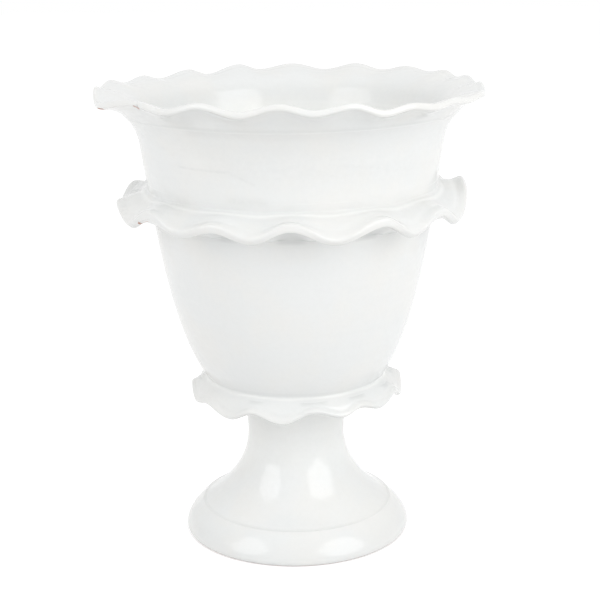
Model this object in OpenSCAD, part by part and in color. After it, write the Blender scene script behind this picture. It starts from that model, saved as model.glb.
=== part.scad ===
// Footed cachepot: a thrown bowl on a thrown, hollow foot, trimmed with three crimped strips of clay.
// Origin at the middle of the circle that the foot stands on, +Z up, the side that faces the viewer at -Y.

/* [Foot] */
// Height of the foot, from the table to the underside of the bowl
foot_height = 112; // [100:1:140]
// Outer radius of the flat ring that the foot stands on
foot_stand_r = 87; // [80:0.5:96]
// Width of the flat ring that the foot stands on
foot_stand_width = 9; // [6:0.5:14]
// How far the widest place of the foot stands out beyond the ring that it stands on
foot_bulge = 2.5; // [1:0.1:4]
// Height of the widest place of the foot above the table
foot_bulge_height = 3; // [2:0.1:6]
// Radius of the ledge along the top of the foot's rounded band
foot_ledge_r = 75.6; // [70:0.2:78]
// Height of the ledge above the table
foot_ledge_height = 22.8; // [18:0.2:28]
// Width of the ledge
foot_ledge_width = 1; // [0.5:0.1:2]
// Radius of the waist, the narrowest place of the stem
foot_waist_r = 38.5; // [30:0.5:42]
// Height of the waist above the table
foot_waist_height = 80; // [65:1:90]
// Radius of the collar on which the bowl sits
foot_collar_r = 43; // [40:0.5:45.5]
// Thickness of the hollow foot's wall
foot_wall = 9; // [6:0.5:12]

/* [Bowl] */
// Height of the bowl from its underside to its lip
bowl_height = 226; // [210:1:250]
// Radius of the flat disc on the bowl's underside
bowl_base_r = 46; // [45.5:0.5:50]
// Outer radius of the wall at the shoulder, where the flare to the lip begins
bowl_shoulder_r = 116.2; // [108:0.2:122]
// Height of the flared lip above the shoulder
bowl_lip_height = 23; // [20:1:34]
// Outer radius of the lip
bowl_lip_r = 128; // [124:0.2:136]
// Thickness of the bowl's wall
bowl_wall = 8; // [5:0.5:11]
// Width of the flat top of the lip, where the wall thickens to carry the rim strip
bowl_lip_width = 11.5; // [8:0.5:14]
// Thickness of the bowl's floor
bowl_floor = 12; // [8:0.5:18]
// Size of the rounded corner between floor and wall
bowl_floor_corner = 16; // [8:1:24]

/* [Rim ruffle] */
// Number of waves round the rim
rim_waves = 18; // [14:1:22]
// How far the wavy edge reaches out beyond the lip
rim_reach = 21; // [14:0.5:26]
// Mean height of the edge's centre above the lip
rim_rise = 14; // [12:0.5:18]
// Typical height from a trough to a crest
rim_wave_height = 5; // [3:0.5:7]
// Thickness of the rounded edge
rim_edge_thickness = 5.4; // [4:0.2:7]
// Direction of the first crest, counted from the front towards +X, in degrees
rim_first_crest = -47; // [-180:1:180]

/* [Middle ruffle] */
// Number of waves round the middle of the bowl
middle_waves = 13; // [10:1:16]
// Height of the seam above the bowl's underside, where the strip's top meets the wall
middle_seam_height = 166; // [150:1:178]
// Height of the strip where it is joined to the wall
middle_root_height = 19; // [8:0.5:20]
// How far the wavy edge reaches out from the wall
middle_reach = 22.4; // [15:0.5:28]
// Mean drop from the seam to the edge's centre
middle_drop = 9.5; // [7:0.5:14]
// Typical height from a trough to a crest
middle_wave_height = 8.5; // [5:0.5:11]
// Thickness of the rounded edge
middle_edge_thickness = 7.8; // [5:0.2:9]
// Direction of the first crest, in degrees
middle_first_crest = -52; // [-180:1:180]

/* [Lower ruffle] */
// Number of waves round the bottom of the bowl
lower_waves = 12; // [9:1:15]
// Height of the seam above the bowl's underside
lower_seam_height = 17; // [15:0.5:24]
// Height of the strip where it is joined to the wall
lower_root_height = 7; // [5:0.5:9]
// How far the wavy edge reaches out from the wall
lower_reach = 12; // [9:0.5:16]
// Mean drop from the seam to the edge's centre
lower_drop = 11.5; // [9:0.5:15]
// Typical height from a trough to a crest
lower_wave_height = 7; // [4:0.5:9]
// Thickness of the rounded edge
lower_edge_thickness = 5; // [4:0.2:6.4]
// Direction of the first crest, in degrees
lower_first_crest = -88; // [-180:1:180]

/* [Hidden] */
$fn = 144;

// Thickness of the slip between a strip and the wall that it is joined to
slip_joint = 0.1;

glaze_white = [0.93, 0.93, 0.92];

// Points on each curve of the turned outlines, and on each side and edge of a strip's section
outline_steps = 14;
side_steps = 4;
edge_steps = 4;
steps_per_wave = 14;

// Control places of the turned curves, as shares of the way out and up from their start to their end
foot_edge_shares = [[0.6, 0], [1, 0.5]];
foot_band_shares = [[0, 0.43], [0.92, 0.94]];
foot_flare_shares = [[0.86, 0.35], [1, 0.77]];
foot_stem_shares = [[0, 0.4], [0.5, 0.8]];
foot_hollow_shares = [[0, 0.5], [0.5, 0.9]];
bowl_wall_shares = [[0.66, 0.04], [0.86, 0.66]];
bowl_lip_shares = [[0.14, 0.56], [0.78, 0.87]];
bowl_corner_shares = [[0.6, 0], [0.9, 0.5]];
bowl_lip_inside_shares = [[0.05, 0.4], [0.5, 0.7]];

// Height above the floor's top, as a share of the bowl's depth, from which the wall thickens towards the lip
bowl_thicken_share = 0.82;

// How strongly a strip's sides keep their direction at their ends, as a share of their length
strip_pull_share = 0.38;

// Each wave of a strip as it was pinched by hand, in shares: its width, the heights of its crest and of the
// trough after it, the trough's place between this crest and the next, and how far the crest stands further out
rim_wave_shares = [
    [1.10, 0.75, 0.05, 0.48, 0.00],
    [1.08, 1.15, 0.10, 0.51, 0.00],
    [0.98, 1.20, 0.30, 0.49, 0.00],
    [0.90, 1.05, -0.15, 0.53, 0.00],
    [0.85, 0.45, -0.05, 0.53, 0.00],
    [1.08, 0.35, -0.05, 0.43, -0.03],
    [0.90, 0.05, -0.40, 0.50, -0.08],
    [0.85, 0.30, -0.25, 0.53, -0.13],
    [0.70, 0.35, -0.25, 0.57, -0.04],
    [0.85, 0.45, 0.00, 0.47, 0.00],
    [0.95, 0.50, -0.30, 0.53, 0.00],
    [1.08, 0.60, -0.50, 0.51, 0.00],
    [0.92, 0.50, -0.35, 0.60, 0.00],
    [0.90, 0.60, -0.70, 0.60, 0.00],
    [1.00, 0.25, -0.70, 0.55, 0.00],
    [0.98, 0.15, -0.40, 0.43, 0.00],
    [0.89, 0.55, 0.00, 0.50, 0.00],
    [2.00, 0.58, -0.92, 0.28, 0.02]
];
middle_wave_shares = [
    [0.97, 0.50, -0.40, 0.52, 0.00],
    [0.87, 0.30, -0.45, 0.50, 0.00],
    [1.08, 0.55, -0.60, 0.47, 0.00],
    [0.90, 0.52, -0.75, 0.48, 0.00],
    [1.44, 0.40, -0.80, 0.32, 0.02],
    [0.94, 1.15, -0.05, 0.60, 0.04],
    [0.94, 0.60, -0.50, 0.50, 0.00],
    [0.94, 0.50, -0.45, 0.48, 0.00],
    [0.97, 0.55, -0.50, 0.52, 0.00],
    [0.94, 0.40, -0.40, 0.50, 0.00],
    [0.97, 0.50, -0.40, 0.50, 0.00],
    [0.90, 0.55, -0.35, 0.52, 0.06],
    [1.12, 0.10, -0.70, 0.56, 0.08]
];
lower_wave_shares = [
    [1.00, 0.62, -0.47, 0.53, 0.06],
    [1.13, 0.12, -0.68, 0.56, 0.04],
    [1.13, 0.33, -0.57, 0.50, 0.00],
    [0.93, 0.57, -0.20, 0.62, 0.00],
    [1.00, 0.47, -0.30, 0.53, 0.03],
    [1.00, 0.47, -0.55, 0.47, 0.22],
    [0.97, 0.75, -0.43, 0.50, 0.24],
    [0.97, 0.57, -0.53, 0.52, 0.06],
    [0.97, 0.43, -0.43, 0.48, 0.00],
    [0.97, 0.50, -0.50, 0.50, 0.00],
    [0.97, 0.57, -0.36, 0.52, 0.00],
    [0.97, 0.43, -0.55, 0.50, 0.04]
];

// Slopes of the strips, in degrees from level: their edge, how much that swings from its mean at a crest,
// their upper and under sides where they leave the clay, how much the upper side swings there at a crest, and
// how much the under side rises there, where the fold was pinched hollow
rim_edge_tilt = 14;
rim_tilt_swing = 12;
rim_leave_angles = [68, 46];
middle_edge_tilt = -20;
middle_tilt_swing = 20;
middle_leave_angles = [0, -12];
middle_leave_swing = 24;
middle_hollow_swing = 80;
lower_edge_tilt = -52;
lower_tilt_swing = 12;
lower_leave_angles = [-30, -20];
lower_leave_swing = 4;
lower_hollow_swing = 20;

function between(a, b, shares) = [
    a[0] + (b[0] - a[0]) * shares[0],
    a[1] + (b[1] - a[1]) * shares[1]
];

function bezier(a, b, c, d, count) = [
    for (i = [0:count])
        let (t = i / count, u = 1 - t)
        u * u * u * a + 3 * u * u * t * b + 3 * u * t * t * c + t * t * t * d
];

// Curve from a to b whose control places are given as shares
function turned(a, b, shares) =
    bezier(a, between(a, b, shares[0]), between(a, b, shares[1]), b, outline_steps);

function ray(angle) = [cos(angle), sin(angle)];

// Curve that leaves a in one direction and reaches b in another
function swept(a, angle_a, b, angle_b) =
    let (pull = strip_pull_share * norm(b - a))
    bezier(a, a + pull * ray(angle_a), b - pull * ray(angle_b), b, side_steps);

function without_last(points) = [for (i = [0:len(points) - 2]) points[i]];
function reversed(points) = [for (i = [len(points) - 1:-1:0]) points[i]];
function moved(points, by) = [for (p = points) p + by];
function total(values, i = 0) = i < len(values) ? values[i] + total(values, i + 1) : 0;

// Heights of the bowl's seams above the table
lip_z = foot_height + bowl_height;
middle_seam_z = foot_height + middle_seam_height;
lower_seam_z = foot_height + lower_seam_height;

// Outline of the foot
foot_widest = [foot_stand_r + foot_bulge, foot_bulge_height];
foot_ledge_outer = [foot_ledge_r, foot_ledge_height];
foot_ledge_inner = foot_ledge_outer - [foot_ledge_width, 0];
foot_waist = [foot_waist_r, foot_waist_height];
foot_flare = turned(foot_ledge_inner, foot_waist, foot_flare_shares);
foot_outside = concat(
    without_last(turned([foot_stand_r, 0], foot_widest, foot_edge_shares)),
    turned(foot_widest, foot_ledge_outer, foot_band_shares),
    without_last(foot_flare),
    turned(foot_waist, [foot_collar_r, foot_height], foot_stem_shares)
);
foot_hollow_flare = moved(foot_flare, [-foot_wall, -foot_wall / 2]);
foot_inside = concat(
    without_last(turned([foot_stand_r - foot_stand_width, 0], foot_hollow_flare[0], foot_hollow_shares)),
    foot_hollow_flare,
    [[foot_waist_r - foot_wall, foot_height]]
);

// Outline of the bowl
bowl_shoulder = [bowl_shoulder_r, lip_z - bowl_lip_height];
bowl_outside = concat(
    without_last(turned([bowl_base_r, foot_height], bowl_shoulder, bowl_wall_shares)),
    turned(bowl_shoulder, [bowl_lip_r, lip_z], bowl_lip_shares)
);
wall_table = [for (p = bowl_outside) [p[1], p[0]]];
function wall_r(z) = lookup(z, wall_table);
bowl_floor_z = foot_height + bowl_floor;
bowl_corner_z = bowl_floor_z + bowl_floor_corner;
bowl_corner_top = [wall_r(bowl_corner_z) - bowl_wall, bowl_corner_z];
bowl_floor_r = bowl_corner_top[0] - bowl_floor_corner;
bowl_thicken_z = bowl_floor_z + (lip_z - bowl_floor_z) * bowl_thicken_share;
bowl_lip_inner_r = bowl_lip_r - bowl_lip_width;
bowl_inside = concat(
    [[0, bowl_floor_z]],
    turned([bowl_floor_r, bowl_floor_z], bowl_corner_top, bowl_corner_shares),
    [for (p = bowl_outside) if (p[1] > bowl_corner_z && p[1] < bowl_thicken_z) p - [bowl_wall, 0]],
    turned([wall_r(bowl_thicken_z) - bowl_wall, bowl_thicken_z], [bowl_lip_inner_r, lip_z], bowl_lip_inside_shares)
);

// Directions of a strip's crests and troughs in turn, all round and one wave further, each with its height and
// how far it stands out, in shares
function wave_row(table, i) = table[i % len(table)];
function crest_angle(table, waves, first, i) =
    let (widths = [for (k = [0:waves - 1]) wave_row(table, k)[0]])
    first + 360 * total([for (k = [0:1:i - 1]) widths[k % waves]]) / total(widths);
function wave_knots(table, waves, first) = [
    for (i = [0:waves])
        let (
            row = wave_row(table, i % waves),
            after = wave_row(table, (i + 1) % waves),
            here = crest_angle(table, waves, first, i),
            next = crest_angle(table, waves, first, i + 1)
        )
        each [[here, [row[1], row[4]]], [here + (next - here) * row[3], [row[2], (row[4] + after[4]) / 2]]]
];

// Height and outward reach of the edge at an angle, eased from each knot to the next
function eased(knots, angle, i = 0) =
    angle <= knots[i + 1][0]
        ? let (s = (angle - knots[i][0]) / (knots[i + 1][0] - knots[i][0]))
            knots[i][1] + (knots[i + 1][1] - knots[i][1]) * (1 - cos(180 * s)) / 2
        : eased(knots, angle, i + 1);

// Section of a strip, out along its upper side, round its edge and back along its under side
function strip_section(top, under, edge, edge_r, tilt, leave) =
    let (side = edge_r * [-sin(tilt), cos(tilt)])
    concat(
        without_last(swept(top, leave[0], edge + side, tilt)),
        [for (k = [0:edge_steps - 1]) edge + edge_r * ray(tilt + 90 - 180 * k / edge_steps)],
        reversed(swept(under, leave[1], edge - side, tilt))
    );

// Strip swept round the axis, from one section at each angle
module strip(sections, angles) {
    count = len(sections);
    size = len(sections[0]);
    polyhedron(
        points = [
            for (i = [0:count - 1])
                for (p = sections[i])
                    [p[0] * sin(angles[i]), -p[0] * cos(angles[i]), p[1]]
        ],
        faces = [
            for (i = [0:count - 1])
                for (j = [0:size - 1])
                    let (
                        a = i * size + j,
                        b = i * size + (j + 1) % size,
                        c = ((i + 1) % count) * size + (j + 1) % size,
                        d = ((i + 1) % count) * size + j
                    )
                    each [[a, c, b], [a, d, c]]
        ]
    );
}

function strip_angles(waves, first) =
    let (count = waves * steps_per_wave)
    [for (i = [0:count - 1]) first + 360 * i / count];

// Radius for a strip's root whose flat facets stay just outside a round wall
function round_outside(r, waves) = r / cos(180 / (waves * steps_per_wave));

// Point of a strip's root, just off the bowl's wall
function beside_wall(z, waves) = [round_outside(wall_r(z) + slip_joint, waves), z];

module wall_strip(
    table, waves, first, seam_z, root, reach, drop, wave, thickness, tilt, swing, leave, leave_swing, hollow_swing
) {
    knots = wave_knots(table, waves, first);
    angles = strip_angles(waves, first);
    top = beside_wall(seam_z, waves);
    middle = beside_wall(seam_z - root / 2, waves);
    under = beside_wall(seam_z - root, waves);
    edge_r = wall_r(seam_z) + reach - thickness / 2;
    sections = [
        for (angle = angles)
            let (
                knot = eased(knots, angle),
                lift = knot[0],
                edge = [edge_r + knot[1] * reach, seam_z - drop + wave * lift]
            )
            concat(
                strip_section(
                    top, under, edge, thickness / 2, tilt + 2 * swing * lift,
                    leave + [leave_swing * lift, hollow_swing * max(lift, 0)]
                ),
                [middle]
            )
    ];
    strip(sections, angles);
}

module foot() {
    color(glaze_white)
        rotate_extrude()
            polygon(concat(foot_outside, reversed(foot_inside)));
}

module bowl() {
    color(glaze_white)
        rotate_extrude()
            polygon(concat([[0, foot_height]], bowl_outside, reversed(bowl_inside)));
}

module rim_ruffle() {
    knots = wave_knots(rim_wave_shares, rim_waves, rim_first_crest);
    angles = strip_angles(rim_waves, rim_first_crest);
    seat_z = lip_z + slip_joint;
    edge_r = bowl_lip_r + rim_reach - rim_edge_thickness / 2;
    color(glaze_white)
        strip(
            [
                for (angle = angles)
                    let (knot = eased(knots, angle), lift = knot[0], out = knot[1] * rim_reach)
                    strip_section(
                        [bowl_lip_inner_r, seat_z], [bowl_lip_r, seat_z],
                        [edge_r + out, lip_z + rim_rise + rim_wave_height * lift], rim_edge_thickness / 2,
                        rim_edge_tilt + rim_tilt_swing * lift, rim_leave_angles
                    )
            ],
            angles
        );
}

module middle_ruffle() {
    color(glaze_white)
        wall_strip(
            middle_wave_shares, middle_waves, middle_first_crest, middle_seam_z, middle_root_height,
            middle_reach, middle_drop, middle_wave_height, middle_edge_thickness,
            middle_edge_tilt, middle_tilt_swing, middle_leave_angles, middle_leave_swing, middle_hollow_swing
        );
}

module lower_ruffle() {
    color(glaze_white)
        wall_strip(
            lower_wave_shares, lower_waves, lower_first_crest, lower_seam_z, lower_root_height,
            lower_reach, lower_drop, lower_wave_height, lower_edge_thickness,
            lower_edge_tilt, lower_tilt_swing, lower_leave_angles, lower_leave_swing, lower_hollow_swing
        );
}

foot();
bowl();
rim_ruffle();
middle_ruffle();
lower_ruffle();
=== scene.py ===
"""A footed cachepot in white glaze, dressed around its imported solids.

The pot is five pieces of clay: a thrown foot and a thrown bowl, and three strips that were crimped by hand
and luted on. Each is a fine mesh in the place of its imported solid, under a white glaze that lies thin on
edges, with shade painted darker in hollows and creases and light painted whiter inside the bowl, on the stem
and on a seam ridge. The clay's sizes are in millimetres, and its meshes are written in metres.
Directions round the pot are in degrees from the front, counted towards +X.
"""

import logging
import math
from dataclasses import dataclass, field
from enum import Enum
from typing import NamedTuple, Sequence

import bpy
import numpy as np
from mathutils import Matrix, Vector


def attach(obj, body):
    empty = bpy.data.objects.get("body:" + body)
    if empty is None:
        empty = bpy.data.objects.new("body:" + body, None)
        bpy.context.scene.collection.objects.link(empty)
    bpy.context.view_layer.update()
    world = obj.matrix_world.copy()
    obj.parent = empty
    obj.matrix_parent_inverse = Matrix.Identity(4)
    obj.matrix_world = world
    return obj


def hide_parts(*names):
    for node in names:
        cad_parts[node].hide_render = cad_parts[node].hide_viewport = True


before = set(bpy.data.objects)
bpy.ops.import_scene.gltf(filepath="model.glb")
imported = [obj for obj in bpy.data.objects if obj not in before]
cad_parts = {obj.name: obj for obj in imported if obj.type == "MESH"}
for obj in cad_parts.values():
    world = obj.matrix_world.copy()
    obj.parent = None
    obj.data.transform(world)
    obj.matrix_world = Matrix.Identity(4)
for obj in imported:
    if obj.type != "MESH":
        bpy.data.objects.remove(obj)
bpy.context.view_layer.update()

log = logging.getLogger("cachepot")

MM = 0.001
BODY = "root"
SLOT = "white_glaze"

Array = np.ndarray
Colour = tuple[float, float, float, float]


class Node(Enum):
    """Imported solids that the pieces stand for."""

    FOOT = "foot"
    BOWL = "bowl"
    RIM = "rim_ruffle"
    MIDDLE = "middle_ruffle"
    LOWER = "lower_ruffle"


class Skin(Enum):
    """What the glaze does at each point of a mesh, and where shade or light is painted on it, kept as an
    attribute between 0 and 1.
    """

    THIN = "thin_glaze"
    # Painted shade: darker grey in hollows, crevices and creases, and an even grey on the wall strips.
    PAINTED_SHADE_AND_GREY = "painted_shade_and_grey"
    BARE = "bare_clay"
    # Painted light: whiter glaze where the pot is to look more brightly lit.
    PAINTED_LIGHT = "painted_light"


def ray(angle: float | Array) -> Array:
    """Returns unit vectors in the plane of a section, at angles in degrees above level."""
    turn = np.radians(angle)
    return np.stack([np.cos(turn), np.sin(turn)], -1)


def bezier(
    start: Array, leaving: Array, arriving: Array, end: Array, steps: int, crowding: float = 1.0,
) -> Array:
    """Draws a cubic curve, or one curve for each row of its ends.

    Args:
        start: First point, or one for each row.
        leaving: Control point next to the start.
        arriving: Control point next to the end.
        end: Last point.
        steps: Number of stretches along the curve.
        crowding: Power that crowds the points towards the start.

    Returns:
        The curve's points, along a new axis before the last.
    """
    t = np.linspace(0.0, 1.0, steps + 1)[:, None] ** crowding
    weights = ((1 - t) ** 3, 3 * (1 - t) ** 2 * t, 3 * (1 - t) * t**2, t**3)
    corners = (start, leaving, arriving, end)
    return sum(w * np.asarray(c, float)[..., None, :] for w, c in zip(weights, corners))


def turned(start: Array, end: Array, shares: Sequence[Sequence[float]], steps: int) -> Array:
    """Draws a turned curve whose control places are shares of the way out and up from start to end.

    Args:
        start: First point, radius and height.
        end: Last point.
        shares: The two control places.
        steps: Number of stretches along the curve.

    Returns:
        The curve's points.
    """
    start, end = np.asarray(start, float), np.asarray(end, float)
    leaving, arriving = (start + (end - start) * np.asarray(s) for s in shares)
    return bezier(start, leaving, arriving, end, steps)


def swept(
    start: Array, leave: float | Array, end: Array, arrive: float | Array, steps: int, crowding: float = 1.0,
) -> Array:
    """Draws a curve that leaves one point in one direction and reaches another in its own.

    Args:
        start: First point, or one for each section.
        leave: Direction at the start, in degrees.
        end: Last point, or one for each section.
        arrive: Direction at the end.
        steps: Number of stretches along the curve.
        crowding: Power that crowds the points towards the start.

    Returns:
        The curve's points, one curve for each section.
    """
    pull_share = 0.38
    start, end = np.broadcast_arrays(start, end)
    pull = pull_share * np.linalg.norm(end - start, axis=-1, keepdims=True)
    return bezier(start, start + pull * ray(leave), end - pull * ray(arrive), end, steps, crowding)


def smooth_step(values: Array, low: float, high: float) -> Array:
    """Returns 0 below low, 1 above high and an eased value between them."""
    t = np.clip((values - low) / (high - low), 0.0, 1.0)
    return t * t * (3 - 2 * t)


def heading(runs: Array, number: int) -> Array:
    """Returns the slope of each run of points, in degrees, at the point with this number."""
    step = runs[:, number + 1] - runs[:, number - 1]
    return np.degrees(np.arctan2(step[:, 1], step[:, 0]))


def feathered(length: float) -> tuple[Array, Array]:
    """Lays out a thin smear of clay along a wall: just proud of it at first, then sinking into it.

    Args:
        length: How far it runs before it dives into the wall, in millimetres.

    Returns:
        Distances along the wall, and how far the smear stands out from it at each.
    """
    along = length * np.array([0.0, 0.15, 0.3, 0.45, 0.6, 0.7, 0.8, 0.9, 1.0, 1.1, 1.2])
    proud = np.array([0.045, 0.043, 0.037, 0.027, 0.014, 0.004, -0.006, -0.02, -0.05, -0.2, -0.7])
    return along, proud


def bump(values: Array, centre: float, width: float) -> Array:
    """Returns a rounded hill that is 1 at its centre and falls off over its width."""
    return np.exp(-(((values - centre) / width) ** 2))


def turn_apart(angles: Array, direction: float) -> Array:
    """Returns how far angles lie from a direction, in degrees from -180 to 180."""
    return (angles - direction + 180) % 360 - 180


def lumps(points: Array, size: float, seed: int) -> Array:
    """Samples soft lumps as clay keeps from the hand, made of crossing waves.

    Args:
        points: Places in millimetres.
        size: Distance from a lump to the hollow next to it, in millimetres.
        seed: Number that gives each use its own lumps.

    Returns:
        One value near the range -1 to 1 for each place.
    """
    chance = np.random.default_rng(seed)
    count = 12
    directions = chance.normal(size=(count, 3))
    directions /= np.linalg.norm(directions, axis=1, keepdims=True)
    lengths = 2 * size * chance.uniform(0.75, 1.5, count)
    phases = chance.uniform(0.0, 2 * np.pi, count)
    waves = np.cos(points @ (2 * np.pi * directions / lengths[:, None]).T + phases)
    return waves.sum(-1) / np.sqrt(2 * count)


def linked(name: str, data: bpy.types.ID) -> bpy.types.Object:
    """Makes an object and links it to the scene.

    Args:
        name: Name of the object.
        data: Its mesh, lamp or camera.

    Returns:
        The object.
    """
    made = bpy.data.objects.new(name, data)
    bpy.context.scene.collection.objects.link(made)
    return made


@dataclass
class Surface:
    """Sections of one piece at angles round the axis, and what its glaze does there.

    Attributes:
        sections: Radius and height of each point, one section for each angle, in millimetres.
        angles: Direction of each section.
        skin: How thin or bare the glaze is at each point, and where shade or light is painted.
        closed: True where a section is a loop, False where its two ends lie on the axis.
    """

    sections: Array
    angles: Array
    skin: dict[Skin, Array] = field(default_factory=dict)
    closed: bool = True

    @property
    def turn(self) -> Array:
        """Directions in radians, as a column."""
        return np.radians(self.angles)[:, None]

    def places(self) -> Array:
        """Returns the points in space, in millimetres."""
        r, z = self.sections[..., 0], self.sections[..., 1]
        return np.stack([r * np.sin(self.turn), -r * np.cos(self.turn), z], -1)

    def outward(self) -> Array:
        """Finds each section's outward direction at each of its points.

        Returns:
            The directions, as unit vectors in the plane of the section.
        """
        ahead, behind = np.roll(self.sections, -1, 1), np.roll(self.sections, 1, 1)
        if not self.closed:
            ahead[:, -1], behind[:, 0] = self.sections[:, -1], self.sections[:, 0]
        along = ahead - behind
        along = along / np.maximum(np.linalg.norm(along, axis=-1, keepdims=True), 1e-9)
        side = np.stack([along[..., 1], -along[..., 0]], -1)
        return side * self.winding()

    def winding(self) -> float:
        """Returns 1 where the sections run anticlockwise, and -1 where they run clockwise."""
        r, z = self.sections[0, :, 0], self.sections[0, :, 1]
        return 1.0 if np.sum(r * np.roll(z, -1) - np.roll(r, -1) * z) > 0 else -1.0

    def push(self, amount: Array) -> None:
        """Moves each point along its section's outward direction, by millimetres."""
        self.sections = self.sections + self.outward() * amount[..., None]

    def build(self, name: str) -> bpy.types.Object:
        """Writes the surface as a smooth mesh.

        Args:
            name: Name of the new object.

        Returns:
            The object, with the skin kept as attributes of its points.
        """
        count, size = self.sections.shape[:2]
        here = np.arange(count)[:, None] * size
        after = np.roll(here, -1, 0)
        first = np.arange(size if self.closed else size - 1)[None, :]
        second = (first + 1) % size
        corners = [here + first, here + second, after + second, after + first]
        if self.winding() < 0:
            corners.reverse()
        faces, used = np.stack(corners, -1).reshape(-1, 4), np.arange(count * size)
        if not self.closed:
            faces, used = self.joined_at_axis(faces, count, size)
        places = self.places().reshape(-1, 3)[used] * MM
        mesh = bpy.data.meshes.new(name)
        mesh.from_pydata(places.tolist(), [], faces.tolist())
        for skin in Skin:
            values = np.broadcast_to(self.skin.get(skin, 0.0), (count, size)).reshape(-1)[used]
            attribute = mesh.attributes.new(skin.value, "FLOAT", "POINT")
            attribute.data.foreach_set("value", np.ascontiguousarray(values, np.float32))
        mesh.shade_smooth()
        # A face that touches the axis has two corners in one point there. This call drops it, so an opening
        # under 2 mm in radius is left round the axis.
        mesh.validate()
        return linked(name, mesh)

    @staticmethod
    def joined_at_axis(quads: Array, count: int, size: int) -> tuple[Array, Array]:
        """Joins the ends of all sections into one point at each end of the axis.

        Args:
            quads: Faces as rows of point numbers.
            count: Number of sections.
            size: Points in each section.

        Returns:
            The faces with the joined points, and the numbers of the points that are still used.
        """
        target = np.arange(count * size)
        target[::size] = 0
        target[size - 1 :: size] = size - 1
        used = np.unique(target)
        number = np.zeros(count * size, int)
        number[used] = np.arange(len(used))
        return number[target[quads]], used


class Noise(NamedTuple):
    """Soft noise on the pot.

    Attributes:
        size: Size of its lumps, in metres.
        detail: Number of finer layers in it.
        rough: Share of its strength that each finer layer keeps.
        span: Noise that gives the first and the second result.
        results: These two results, for a relief in metres.
    """

    size: float
    detail: float
    rough: float
    span: tuple[float, float] = (0.0, 1.0)
    results: tuple[float, float] = (0.0, 1.0)


class Shading:
    """Small writer for the nodes of a material or of the world."""

    def __init__(self, owner: bpy.types.Material | bpy.types.World) -> None:
        """Clears the nodes of what they shade.

        Args:
            owner: The material or world that gets the nodes.
        """
        owner.use_nodes = True
        self.owner, self.tree = owner, owner.node_tree
        self.tree.nodes.clear()

    def add(
        self, kind: str, inputs: dict[str | int, object] | None = None, **settings: object,
    ) -> bpy.types.Node:
        """Adds a node, sets it, and sets or links its inputs.

        Args:
            kind: Type of the node.
            inputs: Inputs by name or number; a socket is linked, anything else is set.
            settings: Settings of the node itself.

        Returns:
            The node.
        """
        node = self.tree.nodes.new(kind)
        for key, value in settings.items():
            setattr(node, key, value)
        for name, value in (inputs or {}).items():
            if isinstance(value, bpy.types.NodeSocket):
                self.tree.links.new(value, node.inputs[name])
            else:
                node.inputs[name].default_value = value
        return node

    def math(self, operation: str, a: object, b: object = 0.0, clamp: bool = False) -> object:
        """Adds an operation on one or two values, and returns its result."""
        return self.add("ShaderNodeMath", {0: a, 1: b}, operation=operation, use_clamp=clamp).outputs[0]

    def plus(self, a: object, b: object, clamp: bool = False) -> object:
        """Adds a sum, and returns its result."""
        return self.math("ADD", a, b, clamp)

    def times(self, a: object, b: object, clamp: bool = False) -> object:
        """Adds a product, and returns its result."""
        return self.math("MULTIPLY", a, b, clamp)

    def mixed(self, share: object, a: object, b: object) -> object:
        """Adds a mix of two colours, and returns its result."""
        inputs = {0: share, 6: a, 7: b}
        return self.add("ShaderNodeMix", inputs, data_type="RGBA", clamp_factor=True).outputs[2]

    def spread(
        self, value: object, low: float, high: float, to_low: float = 0.0, to_high: float = 1.0,
    ) -> object:
        """Adds an eased step that takes values from one range to another, and returns its result."""
        inputs = dict(enumerate((value, low, high, to_low, to_high)))
        return self.add("ShaderNodeMapRange", inputs, interpolation_type="SMOOTHSTEP").outputs[0]

    def seen(self) -> object:
        """Tells what the camera sees, also in reflections and through glass, from other light.

        Returns:
            1 for what the camera sees, and 0 for other light.
        """
        kinds, path = ("Camera", "Glossy", "Transmission"), self.add("ShaderNodeLightPath")
        camera, glossy, through = (path.outputs[f"Is {kind} Ray"] for kind in kinds)
        return self.plus(self.plus(camera, glossy), through, clamp=True)


class PotShading(Shading):
    """Writer for the glaze's nodes, whose patterns lie in the pot's own space."""

    def __init__(self, owner: bpy.types.Material) -> None:
        """Clears the material's nodes, and adds the place on the pot."""
        super().__init__(owner)
        self.where = self.add("ShaderNodeTexCoord").outputs["Object"]

    def lumps(self, noise: Noise) -> object:
        """Adds soft noise, and returns its value."""
        scale = {"Scale": 1.0 / noise.size, "Detail": noise.detail, "Roughness": noise.rough}
        return self.add("ShaderNodeTexNoise", {"Vector": self.where} | scale).outputs[0]

    def pattern(self, noise: Noise) -> object:
        """Adds soft noise taken from its span to its results."""
        return self.spread(self.lumps(noise), *noise.span, *noise.results)

    def raised(self, noise: Noise) -> object:
        """Adds soft noise as a height in metres."""
        return self.times(self.lumps(noise), noise.results[1])

    def skin(self, skin: Skin) -> object:
        """Adds one of the skin attributes of the mesh, and returns its value."""
        return self.add("ShaderNodeAttribute", attribute_name=skin.value).outputs["Fac"]


def tint(red: float, green: float, blue: float) -> Colour:
    """Returns an opaque colour in linear light."""
    return (red, green, blue, 1.0)


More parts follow.
